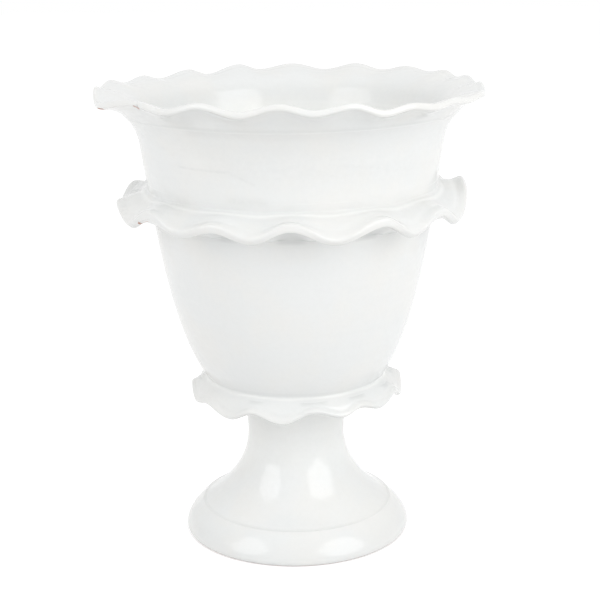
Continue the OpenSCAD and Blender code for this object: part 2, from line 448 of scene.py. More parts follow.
@dataclass(frozen=True)
class WallMark:
    """A mark on the upper wall: a stroke that the brush left in the glaze, or a broad band of painted shade.

    Attributes:
        start: Direction in degrees from the front, and height in metres, of its start.
        end: The same for its end.
        width: Half its width, in metres.
        depth: How strongly it shows.
        fade: Half widths from its middle to where it has faded out.
        begun: Share of its length at which it has reached its full strength.
        ending: Share of its length at which it begins to fade.
    """

    start: tuple[float, float]
    end: tuple[float, float]
    width: float
    depth: float
    fade: float = 1.6
    begun: float = 0.15
    ending: float = 0.8

    def strength_at(self, shading: Shading, along: object, height: object, radius: float) -> object:
        """Writes how strong the mark is at a place on the unrolled wall.

        Args:
            shading: The material's writer.
            along: Distance round the wall, from the front.
            height: Height above the table.
            radius: Radius at which the wall is unrolled.

        Returns:
            The strength.
        """
        start, end = (np.array([math.radians(turn) * radius, z]) for turn, z in (self.start, self.end))
        length = float(np.linalg.norm(end - start))
        ahead = (end - start) / length
        from_start = [shading.math("SUBTRACT", v, float(s)) for v, s in zip((along, height), start)]
        run, off = (
            shading.plus(*(shading.times(v, float(a)) for v, a in zip(from_start, axis)))
            for axis in (ahead, (-ahead[1], ahead[0]))
        )
        near = shading.spread(shading.math("ABSOLUTE", off), 0.0, self.fade * self.width, self.depth, 0.0)
        begun = shading.spread(run, -self.width, self.begun * length)
        ended = shading.spread(run, self.ending * length, length + self.width, 1.0, 0.0)
        return shading.times(shading.times(near, begun), ended)


@dataclass(frozen=True)
class WhiteGlaze:
    """Gloss white glaze over red earthenware, with bare clay where it was wiped or chipped off, and with
    painted light and shade.

    Attributes:
        cool: Colour where the glaze is thick.
        warm: Colour where it is thinner over the red clay.
        thin: Colour on crimped edges, where the clay begins to show.
        grey_and_painted_shade: Darker grey for fine mottling and brush marks, also used as painted shade in
            hollows, creases and a band under the rim.
        painted_light_white: Whiter colour painted as light inside the bowl, on the stem and on a seam ridge.
        clay: Colour of the bare clay.
        pale_clay: Colour of its pale grains.
        clouds: Broad clouds of the warm colour.
        mottle: Fine mottling.
        thinning: How unevenly the glaze is thin on edges.
        bristles: How unevenly a mark on the upper wall shows.
        ragged: How ragged the edge of a bare spot is.
        sheen: Roughness of the fired glaze, which varies a little.
        pale_grains: Where the bare clay is pale.
        ripple: Relief of a brushed glaze.
        peel: Fine relief of the glaze.
        grain: Relief of the bare clay.
        painted_shade_share: How far the painted shade takes the darker grey.
        bare_edge: Bareness at which the clay begins to show, and at which it shows in full.
        gloss: Mean roughness of the fired glaze.
        matt: Roughness of the bare clay.
        bending: Refractive index of the glaze.
        mirror: Strength of the mirror image.
        grazing: Share of it that is left at a grazing view, where fine crazing breaks it up.
        crazing: How far the surface turns away from the viewer where that begins and ends.
        wall_r: Radius at which the marks on the upper wall are laid out, in metres.
        marks_from: Radii between which the marks begin, so that none show inside the bowl.
        marks: The brush strokes there, and one broad band of painted shade under the rim.
    """

    cool: Colour = tint(0.812, 0.824, 0.820)
    warm: Colour = tint(0.824, 0.825, 0.808)
    thin: Colour = tint(0.820, 0.816, 0.796)
    grey_and_painted_shade: Colour = tint(0.640, 0.652, 0.645)
    painted_light_white: Colour = tint(0.908, 0.916, 0.896)
    clay: Colour = tint(0.480, 0.270, 0.220)
    pale_clay: Colour = tint(0.560, 0.360, 0.300)
    clouds: Noise = Noise(0.045, 4.0, 0.55, (0.36, 0.66))
    mottle: Noise = Noise(0.0035, 3.0, 0.6, (0.35, 0.75), (0.0, 0.06))
    thinning: Noise = Noise(0.012, 3.0, 0.5, (0.30, 0.70), (0.15, 0.75))
    bristles: Noise = Noise(0.004, 3.0, 0.6, (0.3, 0.7), (0.5, 1.0))
    ragged: Noise = Noise(0.006, 4.0, 0.6, (0.2, 0.8), (-0.25, 0.25))
    sheen: Noise = Noise(0.02, 3.0, 0.5, (0.3, 0.7), (0.07, 0.15))
    pale_grains: Noise = Noise(0.004, 4.0, 0.7)
    ripple: Noise = Noise(0.014, 2.0, 0.5, results=(0.0, 0.0002))
    peel: Noise = Noise(0.0032, 2.0, 0.5, results=(0.0, 0.00003))
    grain: Noise = Noise(0.0012, 4.0, 0.7, results=(0.0, 0.0002))
    painted_shade_share: float = 0.8
    bare_edge: tuple[float, float] = (0.42, 0.58)
    gloss: float = 0.10
    matt: float = 0.85
    bending: float = 1.55
    mirror: float = 0.5
    grazing: float = 0.2
    crazing: tuple[float, float] = (0.62, 0.97)
    wall_r: float = 0.115
    marks_from: tuple[float, float] = (0.110, 0.111)
    marks: tuple[WallMark, ...] = (
        WallMark((-46.0, 0.3086), (-20.0, 0.3078), 0.0011, 0.26),
        WallMark((-22.5, 0.3078), (-12.7, 0.2988), 0.0013, 0.17),
        WallMark((-24.0, 0.2880), (-8.0, 0.2855), 0.0038, 0.26),
        WallMark((-56.0, 0.2870), (-41.0, 0.2800), 0.0042, 0.22),
        # Painted shade: a broad darker band across the upper wall under the rim, not a brush stroke.
        WallMark((-34.0, 0.3140), (60.0, 0.3060), 0.0130, 0.20),
        WallMark((16.0, 0.3130), (34.0, 0.3080), 0.0014, 0.08),
    )

    def material(self) -> bpy.types.Material:
        """Builds the glaze.

        Returns:
            The material.
        """
        shading = PotShading(bpy.data.materials.new(SLOT))
        colour, bare = self.colour(shading)
        bsdf = shading.add("ShaderNodeBsdfPrincipled", {
            "Base Color": colour,
            "Roughness": self.roughness(shading, bare),
            "Normal": self.relief(shading, bare),
            "IOR": self.bending,
            "Specular IOR Level": self.shine(shading),
        })
        shading.add("ShaderNodeOutputMaterial", {"Surface": bsdf.outputs[0]})
        return shading.owner

    def colour(self, shading: PotShading) -> tuple[object, object]:
        """Writes the colour: warm and cool clouds, painted light, mottling, brush marks and a band of painted
        shade, thin edges, painted shade and clay.

        Args:
            shading: The material's writer.

        Returns:
            The colour, and how bare the clay is.
        """
        colour = shading.mixed(shading.pattern(self.clouds), self.cool, self.warm)
        layers = (
            # Painted light: the whiter colour inside the bowl, up the stem and on the middle strip's seam
            # ridge.
            (shading.skin(Skin.PAINTED_LIGHT), self.painted_light_white),
            (shading.pattern(self.mottle), self.grey_and_painted_shade),
            # Brush strokes, and a broad band of painted shade under the rim.
            (self.brush_marks_and_shade(shading), self.grey_and_painted_shade),
            (shading.times(shading.skin(Skin.THIN), shading.pattern(self.thinning)), self.thin),
            # Painted shade in hollows, crevices and creases, with an even grey on the wall strips.
            (shading.times(shading.skin(Skin.PAINTED_SHADE_AND_GREY), self.painted_shade_share), self.grey_and_painted_shade),
        )
        for share, tone in layers:
            colour = shading.mixed(share, colour, tone)
        ragged = shading.plus(shading.skin(Skin.BARE), shading.pattern(self.ragged))
        bare = shading.spread(ragged, *self.bare_edge)
        clay = shading.mixed(shading.lumps(self.pale_grains), self.clay, self.pale_clay)
        return shading.mixed(bare, colour, clay), bare

    def brush_marks_and_shade(self, shading: PotShading) -> object:
        """Writes the marks on the upper wall: strokes that the brush left in the glaze, and a broad band of
        painted shade.

        Args:
            shading: The material's writer.

        Returns:
            How strong the marks are.
        """
        x, y, z = shading.add("ShaderNodeSeparateXYZ", {0: shading.where}).outputs
        along = shading.times(shading.math("ARCTAN2", x, shading.times(y, -1.0)), self.wall_r)
        flat = shading.add("ShaderNodeCombineXYZ", {0: x, 1: y}).outputs[0]
        reach = shading.add("ShaderNodeVectorMath", {0: flat}, operation="LENGTH").outputs["Value"]
        outside = shading.spread(reach, *self.marks_from)
        marks = 0.0
        for mark in self.marks:
            marks = shading.plus(marks, mark.strength_at(shading, along, z, self.wall_r))
        return shading.times(shading.times(marks, shading.pattern(self.bristles), clamp=True), outside)

    def roughness(self, shading: PotShading, bare: object) -> object:
        """Writes the roughness: a gloss that varies a little, and matt where the clay is bare."""
        lift = shading.times(bare, self.matt - self.gloss)
        return shading.plus(shading.pattern(self.sheen), lift, clamp=True)

    def shine(self, shading: PotShading) -> object:
        """Writes the strength of the mirror image, weaker at a grazing view."""
        facing = shading.add("ShaderNodeLayerWeight", {"Blend": 0.5}).outputs["Facing"]
        return shading.spread(facing, *self.crazing, self.mirror, self.mirror * self.grazing)

    def relief(self, shading: PotShading, bare: object) -> object:
        """Writes the fine relief.

        Args:
            shading: The material's writer.
            bare: How bare the clay is.

        Returns:
            The normal.
        """
        glazed = shading.plus(shading.raised(self.ripple), shading.raised(self.peel))
        height = shading.plus(glazed, shading.times(shading.raised(self.grain), bare))
        inputs = {"Strength": 1.0, "Distance": 1.0, "Height": height}
        return shading.add("ShaderNodeBump", inputs).outputs[0]


@dataclass
class TurnedPiece:
    """A piece thrown on the wheel.

    Attributes:
        ring_pitch: Distance from one throwing ring to the next.
        ring_drift: How far the rings drift, in radians, and the height over which they do.
        sway: Depth of the soft sway that the hands left.
        sway_size: Size of that sway.
        seed: Number that gives the piece its own sway.
        columns: Sections round the axis.
        curve_steps: Stretches along each curve of the outline.
    """

    ring_pitch: float = 9.0
    ring_drift: tuple[float, float] = (1.2, 17.0)
    sway: float = 0.14
    sway_size: float = 42.0
    seed: int = 3
    columns: int = 720
    curve_steps: int = 60

    def spun(self, outline: Array, closed: bool) -> Surface:
        """Returns the surface that an outline leaves when it is turned about the axis."""
        angles = np.arange(self.columns) * 360.0 / self.columns
        return Surface(np.repeat(outline[None], self.columns, 0), angles, closed=closed)

    def rings(self, surface: Surface) -> Array:
        """Returns the soft rings that the fingers left, between -1 and 1."""
        z, turn, (size, height) = surface.sections[..., 1], surface.turn, self.ring_drift
        return np.sin(2 * np.pi * z / self.ring_pitch + turn + size * np.sin(z / height))

    def swaying(self, surface: Surface) -> Array:
        """Returns how far the sway moves each point outwards."""
        return self.sway * lumps(surface.places(), self.sway_size, self.seed)



@dataclass
class Foot(TurnedPiece):
    """The thrown pedestal foot: rounded band, ledge, flare, waist and collar, hollow from below.

    Attributes:
        height: Height up to the underside of the bowl.
        stand_r: Outer radius of the ring that it stands on.
        stand_width: Width of that ring.
        bulge: How far the widest place stands out beyond the ring.
        bulge_height: Height of the widest place.
        ledge_r: Radius of the ledge on top of the band.
        ledge_height: Height of the ledge.
        ledge_width: Width of the ledge.
        waist_r: Radius of the waist.
        waist_height: Height of the waist.
        collar_r: Radius of the collar under the bowl.
        wall: Thickness of the wall.
        groove: Depth of the line that was cut above the band.
        cut_side: Direction in which the glaze left most of that line open.
        filled: Stretches of the flare beside the line that the glaze filled up.
        ledge_bead: Height of the small bead that the cut raised along the ledge.
        bare_height: Height to which the glaze was wiped off the ring.
        ring_depth: Depth of the throwing rings.
    """

    height: float = 112.0
    stand_r: float = 87.0
    stand_width: float = 9.0
    bulge: float = 2.5
    bulge_height: float = 3.0
    ledge_r: float = 75.6
    ledge_height: float = 22.8
    ledge_width: float = 1.0
    waist_r: float = 38.5
    waist_height: float = 80.0
    collar_r: float = 43.0
    wall: float = 9.0
    groove: float = 0.10
    cut_side: float = -48.0
    filled: int = 4
    ledge_bead: float = 0.12
    bare_height: float = 0.3
    ring_depth: float = 0.03

    def outline(self) -> Array:
        """Draws the section: up the outside, over the collar and down the hollow.

        Returns:
            The outline's points.
        """
        steps = self.curve_steps
        widest = np.array([self.stand_r + self.bulge, self.bulge_height])
        ledge = np.array([self.ledge_r, self.ledge_height])
        inner = ledge - [self.ledge_width, 0.0]
        waist = np.array([self.waist_r, self.waist_height])
        collar = np.array([self.collar_r, self.height])
        edge = turned([self.stand_r, 0.0], widest, [[0.6, 0.0], [1.0, 0.5]], steps // 3)
        band = turned(widest, ledge, [[0.0, 0.43], [0.92, 0.94]], steps)
        flare = turned(inner, waist, [[0.86, 0.35], [1.0, 0.77]], 2 * steps)
        stem = turned(waist, collar, [[0.0, 0.4], [0.5, 0.8]], steps)
        flare = flare[self.filled:]
        dip = turned(ledge, flare[0], [[0.4, 0.2], [0.7, 0.5]], steps // 6)
        hollow = flare - [self.wall, self.wall / 2]
        rise = turned([self.stand_r - self.stand_width, 0.0], hollow[0], [[0.0, 0.5], [0.5, 0.9]], steps // 2)
        top = np.linspace(collar, [self.waist_r - self.wall, self.height], steps // 6)
        down = np.linspace(top[-1], hollow[-1], steps // 3)
        under = np.linspace(rise[0], edge[0], steps // 6)
        outer = [edge, band[1:], dip[1:], flare[1:], stem[1:]]
        return np.concatenate([*outer, top[1:], down[1:], hollow[-2::-1], rise[-2::-1], under[1:-1]])

    def surface(self) -> Surface:
        """Shapes the clay: the cut line, the bead beside it, soft throwing rings and the wiped ring.

        Returns:
            The foot's surface.
        """
        surface = self.spun(self.outline(), closed=True)
        r, z = surface.sections[..., 0], surface.sections[..., 1]
        outside = surface.outward()[..., 0] > 0.05
        corner = bump(r, self.ledge_r - self.ledge_width, 1.2) * bump(z, self.ledge_height, 1.4)
        cut = corner * bump(turn_apart(surface.angles, self.cut_side), 0.0, 60.0)[:, None]
        bead = bump(r, self.ledge_r + 0.3, 1.0) * bump(z, self.ledge_height - 0.5, 1.1)
        clear = smooth_step(z, 4.0, 10.0) * smooth_step(self.height - z, 1.0, 6.0)
        thrown = self.ring_depth * self.rings(surface) + self.swaying(surface)
        surface.push(thrown * clear - self.groove * cut + self.ledge_bead * bead)
        shoulder = bump(z, self.ledge_height - 1.0, 1.6) * outside * (r < self.ledge_r + 4.0)
        surface.skin = {
            Skin.BARE: smooth_step(self.bare_height + 0.6 - z, 0.0, 0.8),
            Skin.THIN: 0.5 * shoulder + 0.5 * bump(z, self.bulge_height, 2.5) * outside,
            # Painted shade in the cut line above the band, and across the lower foot band.
            Skin.PAINTED_SHADE_AND_GREY: np.maximum(0.25 * cut, 0.22 * bump(z, 10.0, 9.0) * outside),
            # Painted light: whiter glaze up the stem.
            Skin.PAINTED_LIGHT: 0.35 * smooth_step(z, 45.0, 72.0) * outside,
        }
        return surface


@dataclass
class Bowl(TurnedPiece):
    """The thrown bowl: flat underside, round belly, shoulder and flared lip.

    Attributes:
        base_z: Height of its underside above the table.
        height: Height up to its lip.
        base_r: Radius of the flat disc on its underside.
        shoulder_r: Outer radius at the shoulder.
        lip_height: Height of the lip above the shoulder.
        lip_r: Outer radius of the lip.
        wall: Thickness of the wall.
        lip_width: Width of the flat top of the lip.
        thicken_share: Share of the depth above which the wall thickens towards the lip.
        floor: Thickness of the floor.
        corner: Size of the round between floor and wall.
        lip_round: Radius of the lip's two edges.
        calm: Heights above the underside where the clay was smoothed for a strip, each with how far.
        ring_depth_inside: Depth of the throwing rings inside.
        ring_depth_outside: Depth of the throwing rings outside.
        fine_pitch: Distance between the finer rings that cross them, half as deep.
    """

    base_z: float = 112.0
    height: float = 226.0
    base_r: float = 46.0
    shoulder_r: float = 116.2
    lip_height: float = 23.0
    lip_r: float = 128.0
    wall: float = 8.0
    lip_width: float = 11.5
    thicken_share: float = 0.82
    floor: float = 12.0
    corner: float = 16.0
    lip_round: float = 0.5
    calm: tuple[tuple[float, float], ...] = ((14.0, 9.0), (149.0, 8.0), (168.0, 6.0), (224.0, 7.0))
    ring_depth_inside: float = 0.10
    ring_depth_outside: float = 0.02
    fine_pitch: float = 6.1
    ring_pitch: float = 11.0
    ring_drift: tuple[float, float] = (1.5, 23.0)
    sway: float = 0.20
    sway_size: float = 55.0
    seed: int = 7

    @property
    def lip_z(self) -> float:
        """Height of the lip above the table."""
        return self.base_z + self.height

    @property
    def lip_inner_r(self) -> float:
        """Inner radius of the lip's flat top."""
        return self.lip_r - self.lip_width

    @property
    def floor_z(self) -> float:
        """Height of the floor above the table."""
        return self.base_z + self.floor

    @property
    def thicken_z(self) -> float:
        """Height above the table from which the wall thickens."""
        return self.floor_z + (self.lip_z - self.floor_z) * self.thicken_share

    def outside(self) -> Array:
        """Draws the outer side, from the underside to the lip.

        Returns:
            The points of that side.
        """
        base = np.array([self.base_r, self.base_z])
        shoulder = np.array([self.shoulder_r, self.lip_z - self.lip_height])
        belly = turned(base, shoulder, [[0.66, 0.04], [0.86, 0.66]], 4 * self.curve_steps)
        lip = turned(shoulder, [self.lip_r, self.lip_z], [[0.14, 0.56], [0.78, 0.87]], self.curve_steps)
        return np.concatenate([belly, lip[1:]])

    def lip_inside(self) -> Array:
        """Draws the inside of the wall from where it thickens up to the lip."""
        start = [float(self.wall_r(self.thicken_z)) - self.wall, self.thicken_z]
        return turned(start, [self.lip_inner_r, self.lip_z], [[0.05, 0.4], [0.5, 0.7]], self.curve_steps)

    def wall_r(self, z: float | Array) -> Array:
        """Returns the outer radius of the wall at a height."""
        side = self.outside()
        return np.interp(z, side[:, 1], side[:, 0])

    def inner_r(self, z: float | Array) -> Array:
        """Returns the inner radius of the wall at a height near the lip."""
        side = self.lip_inside()
        return np.interp(z, side[:, 1], side[:, 0])

    def outline(self) -> Array:
        """Draws the section, from the axis along the underside, up the outside and down the inside.

        Returns:
            The outline's points.
        """
        steps, outside, floor_z = self.curve_steps, self.outside(), self.floor_z
        corner_z = floor_z + self.corner
        corner_top = np.array([float(self.wall_r(corner_z)) - self.wall, corner_z])
        floor_r = corner_top[0] - self.corner
        rounding = turned([floor_r, floor_z], corner_top, [[0.6, 0.0], [0.9, 0.5]], steps // 2)
        side = outside[(outside[:, 1] > corner_z) & (outside[:, 1] < self.thicken_z)] - [self.wall, 0.0]
        inside = np.concatenate([side, self.lip_inside()])
        top = self.lip_z - self.lip_round
        outer, inner = outside[outside[:, 1] < top], inside[inside[:, 1] < top]
        edges = np.array([[self.lip_r, self.lip_z], [self.lip_inner_r, self.lip_z]])
        away = np.array([2 * self.lip_round, 0.0])
        over = bezier(outer[-1], edges[0], edges[0], edges[0] - away, steps // 6)
        back = bezier(edges[1] + away, edges[1], edges[1], inner[-1], steps // 6)
        under = np.linspace([0.0, self.base_z], outside[0], steps // 2)
        ground = np.linspace([floor_r, floor_z], [0.0, floor_z], steps // 2)
        lip = [over[1:], back]
        return np.concatenate([under[:-1], outer, *lip, inner[-2::-1], rounding[-2::-1], ground[1:]])

    def surface(self) -> Surface:
        """Shapes the clay: throwing rings, stronger inside, and a soft sway.

        Returns:
            The bowl's surface.
        """
        surface = self.spun(self.outline(), closed=False)
        r, z = surface.sections[..., 0], surface.sections[..., 1]
        clear = smooth_step(z, self.base_z + 2.0, self.base_z + 14.0) * smooth_step(r, 40.0, 60.0)
        for height, width in self.calm:
            clear = clear * (1 - np.exp(-(((z - self.base_z - height) / width) ** 4)))
        inside = surface.outward()[..., 0] < 0
        depth = np.where(inside, self.ring_depth_inside, self.ring_depth_outside)
        rings = self.rings(surface) + 0.5 * np.sin(2 * np.pi * z / self.fine_pitch - surface.turn)
        surface.push(clear * (depth * rings + self.swaying(surface)))
        # Painted light: whiter glaze on the inner wall, fading out towards the lip.
        within = smooth_step(self.wall_r(z) - surface.sections[..., 0], 4.0, 7.0)
        surface.skin[Skin.PAINTED_LIGHT] = within * (1 - smooth_step(z, self.lip_z - 24.0, self.lip_z - 2.0))
        return surface


class Wave(NamedTuple):
    """One wave of a strip as it was pinched by hand, in shares.

    Attributes:
        width: Its width.
        crest: Height of its crest.
        trough: Height of the trough after it.
        place: The trough's place between this crest and the next.
        out: How far the crest stands further out.
    """

    width: float
    crest: float
    trough: float
    place: float
    out: float = 0.0


def waves(*rows: tuple[float, ...]) -> tuple[Wave, ...]:
    """Returns waves from the rows of their values."""
    return tuple(Wave(*row) for row in rows)


RIM_WAVES = waves(
    (1.10, 0.75, 0.05, 0.48), (1.08, 1.15, 0.10, 0.51), (0.98, 1.20, 0.30, 0.49), (0.90, 1.05, -0.15, 0.53),
    (0.85, 0.45, -0.05, 0.53), (1.08, 0.35, -0.05, 0.43, -0.03), (0.90, 0.05, -0.40, 0.50, -0.08),
    (0.85, 0.30, -0.25, 0.53, -0.13), (0.70, 0.35, -0.25, 0.57, -0.04), (0.85, 0.45, 0.00, 0.47),
    (0.95, 0.50, -0.30, 0.53), (1.08, 0.60, -0.50, 0.51), (0.92, 0.50, -0.35, 0.60),
    (0.90, 0.60, -0.70, 0.60), (1.00, 0.25, -0.70, 0.55), (0.98, 0.15, -0.40, 0.43),
    (0.89, 0.55, 0.00, 0.50), (2.00, 0.58, -0.92, 0.28, 0.02),
)
MIDDLE_WAVES = waves(
    (0.97, 0.50, -0.40, 0.52), (0.87, 0.30, -0.45, 0.50), (1.08, 0.55, -0.60, 0.47),
    (0.90, 0.52, -0.75, 0.48), (1.44, 0.40, -0.80, 0.32, 0.02), (0.94, 1.15, -0.05, 0.60, 0.04),
    (0.94, 0.60, -0.50, 0.50), (0.94, 0.50, -0.45, 0.48), (0.97, 0.55, -0.50, 0.52),
    (0.94, 0.40, -0.40, 0.50), (0.97, 0.50, -0.40, 0.50), (0.90, 0.55, -0.35, 0.52, 0.06),
    (1.12, 0.10, -0.70, 0.56, 0.08),
)
LOWER_WAVES = waves(
    (1.00, 0.62, -0.47, 0.53, 0.06), (1.13, 0.12, -0.68, 0.56, 0.04), (1.13, 0.33, -0.57, 0.50),
    (0.93, 0.57, -0.20, 0.62), (1.00, 0.47, -0.30, 0.53, 0.03), (1.00, 0.47, -0.55, 0.47, 0.22),
    (0.97, 0.75, -0.43, 0.50, 0.24), (0.97, 0.57, -0.53, 0.52, 0.06), (0.97, 0.43, -0.43, 0.48),
    (0.97, 0.50, -0.50, 0.50), (0.97, 0.57, -0.36, 0.52), (0.97, 0.43, -0.55, 0.50, 0.04),
)


@dataclass
class CrimpedStrip:
    """A strip of clay crimped by hand into waves.

    Attributes:
        waves: The waves in turn.
        first_crest: Direction of the first crest.
        reach: How far the edge reaches out beyond what carries the strip.
        wave_height: Typical height from a trough to a crest.
        thickness: Thickness of the rounded edge.
        tilt: Slope of the edge, in degrees.
        swing: How much that slope changes at a crest.
        leave: Slopes of the upper and under sides where they leave the clay.
        bowl: The bowl that carries the strip.
        bare_spots: Direction and half width of each spot under the edge that the glaze missed.
        smear: How far the clay was smeared along the lip or the wall beyond the strip.
        squareness: Power of the edge's rounding, 2 where it is a half circle.
        groove: Depth of the shallow groove that the fingers pressed behind the edge.
        lap: Direction where the strip's two ends lap, if it shows.
        lap_step: How far one end lies back behind the other.
        lap_gap: Depth of the crevice between them.
        kneading: Depth and size of the unevenness that the hands left, soft and fine.
        seed: Number that gives the strip its own unevenness.
        columns_per_wave: Sections along one wave.
        side_steps: Stretches along each side of a section.
        crowding: Power that crowds the upper side's points towards the clay that it leaves.
        edge_steps: Stretches round the edge.
    """

    waves: Sequence[Wave]
    first_crest: float
    reach: float
    wave_height: float
    thickness: float
    tilt: float
    swing: float
    leave: tuple[float, float]
    bowl: Bowl
    bare_spots: tuple[tuple[float, float], ...]
    smear: float = 5.0
    squareness: float = 2.5
    groove: float = 0.45
    lap: float | None = None
    lap_step: float = 0.7
    lap_gap: float = 1.3
    kneading: tuple[tuple[float, float], ...] = ((0.22, 22.0), (0.05, 8.0))
    seed: int = 11
    columns_per_wave: int = 56
    side_steps: int = 40
    crowding: float = 1.0
    edge_steps: int = 20

    def angles(self) -> Array:
        """Lays out the directions of the sections, finer where the ends lap.

        Returns:
            The directions, from the first crest on.
        """
        count = len(self.waves) * self.columns_per_wave
        even = self.first_crest + np.arange(count) * 360.0 / count
        if self.lap is None:
            return even
        lapped = (self.lap + np.arange(-3.0, 3.0, 0.1) - self.first_crest) % 360.0
        return np.unique(np.round(np.concatenate([even, self.first_crest + lapped]), 4))

    def waving(self, angles: Array) -> tuple[Array, Array]:
        """Eases from each crest and trough to the next.

        Args:
            angles: Directions from the first crest on.

        Returns:
            The edge's lift in wave heights, and its outward shift in shares of the reach.
        """
        widths = np.array([wave.width for wave in self.waves])
        crests = self.first_crest + 360 * np.concatenate([[0.0], np.cumsum(widths)]) / widths.sum()
        knots, lifts, outs = [], [], []
        for i, wave in enumerate(self.waves):
            after = self.waves[(i + 1) % len(self.waves)]
            knots += [crests[i], crests[i] + (crests[i + 1] - crests[i]) * wave.place]
            lifts += [wave.crest, wave.trough]
            outs += [wave.out, (wave.out + after.out) / 2]
        knots, lifts, outs = (np.array(v) for v in (knots + [crests[-1]], lifts + lifts[:1], outs + outs[:1]))
        here = np.clip(np.searchsorted(knots, angles, "right") - 1, 0, len(knots) - 2)
        along = (angles - knots[here]) / (knots[here + 1] - knots[here])
        ease = (1 - np.cos(np.pi * along)) / 2
        return tuple(v[here] + (v[here + 1] - v[here]) * ease for v in (lifts, outs))

    def middle(self, lift: Array, out: Array, carrier_r: float, mean_z: float) -> Array:
        """Returns the middle of the edge's rounding in each section."""
        edge_r = carrier_r + self.reach - self.thickness / 2 + out * self.reach
        return np.stack([edge_r, mean_z + self.wave_height * lift], -1)

    def edge(self, centre: Array, tilt: Array) -> Array:
        """Rounds the edge, from its upper side to its under side.

        Args:
            centre: Middle of the rounding in each section.
            tilt: Slope of the edge in each section.

        Returns:
            The points round the edge.
        """
        around = np.radians(np.linspace(90.0, -90.0, self.edge_steps + 1))
        power = 2.0 / self.squareness
        out = np.abs(np.cos(around)) ** power
        side = np.sign(np.sin(around)) * np.abs(np.sin(around)) ** power
        ahead, across = ray(tilt)[:, None], ray(tilt + 90.0)[:, None]
        offset = out[None, :, None] * ahead + side[None, :, None] * across
        return centre[:, None] + self.thickness / 2 * offset

    def sides(
        self, top: Array, under: Array, centre: Array, tilt: Array, leave: Sequence[float | Array],
    ) -> tuple[Array, Array, Array]:
        """Draws the upper side, the edge and the under side of each section.

        Args:
            top: Where the upper side leaves the clay.
            under: Where the under side leaves the clay.
            centre: Middle of the edge's rounding.
            tilt: Slope of the edge.
            leave: Slopes of the upper and under sides where they leave the clay.

        Returns:
            The three runs of points, in the order round the section.
        """
        across = self.thickness / 2 * ray(tilt + 90.0)
        upper = swept(top, leave[0], centre + across, tilt, self.side_steps, self.crowding)
        lower = swept(under, leave[1], centre - across, tilt, self.side_steps)
        to_edge = np.linalg.norm(upper - upper[:, -1:], axis=-1)
        pressed = self.groove * bump(to_edge, 0.6 * self.thickness, 0.33 * self.thickness)
        upper = upper - pressed[..., None] * ray(tilt + 90.0)[:, None]
        return upper, self.edge(centre, tilt), lower[:, ::-1]

    def knead(self, surface: Surface, edge_share: Array) -> None:
        """Gives the strip its hand-made unevenness, inwards from its full size.

        Args:
            surface: The strip's surface.
            edge_share: How near each point of a section is to the edge, 0 to 1.
        """
        places = surface.places()
        uneven = sum(
            depth * (lumps(places, size, self.seed + number) - 1.0)
            for number, (depth, size) in enumerate(self.kneading)
        )
        surface.push(np.minimum(uneven, 0.0) * edge_share)

    def finish(self, surface: Surface, full_r: float) -> None:
        """Marks where the glaze ran thin over the edge or missed a spot, and cuts the lap.

        Args:
            surface: The strip's surface.
            full_r: Radius that the edge reaches.
        """
        r = surface.sections[..., 0]
        down = smooth_step(-surface.outward()[..., 1], 0.1, 0.7)
        near = smooth_step(r, full_r - 1.6 * self.thickness, full_r - 0.6 * self.thickness)
        spots = sum(bump(turn_apart(surface.angles, spot), 0.0, half) for spot, half in self.bare_spots)
        surface.skin[Skin.THIN] = smooth_step(r, full_r - self.thickness, full_r)
        surface.skin[Skin.BARE] = spots[:, None] * near * down
        if self.lap is not None:
            self.cut_lap(surface, near, down)

    def cut_lap(self, surface: Surface, near: Array, down: Array) -> None:
        """Sets one end of the strip back behind the other, with a crevice painted in shade, and bare clay
        where the glaze missed.

        Args:
            surface: The strip's surface.
            near: How near each point is to the edge, 0 to 1.
            down: How far it faces down, 0 to 1.
        """
        apart = turn_apart(surface.angles, self.lap)[:, None]
        over = smooth_step(apart, -0.3, 0.3) * (1 - smooth_step(apart, 1.5, 9.0))
        crevice = bump(apart, 0.0, 0.55) * near * smooth_step(-surface.outward()[..., 1], -0.6, 0.5)
        surface.push(self.lap_step * (over - 1.0) * bump(apart, 0.0, 8.0) * near - self.lap_gap * crevice)
        # Painted shade in the crevice.
        surface.skin[Skin.PAINTED_SHADE_AND_GREY] = crevice
        missed = 0.9 * smooth_step(crevice, 0.6, 0.95) * down
        surface.skin[Skin.BARE] = np.maximum(surface.skin[Skin.BARE], missed)


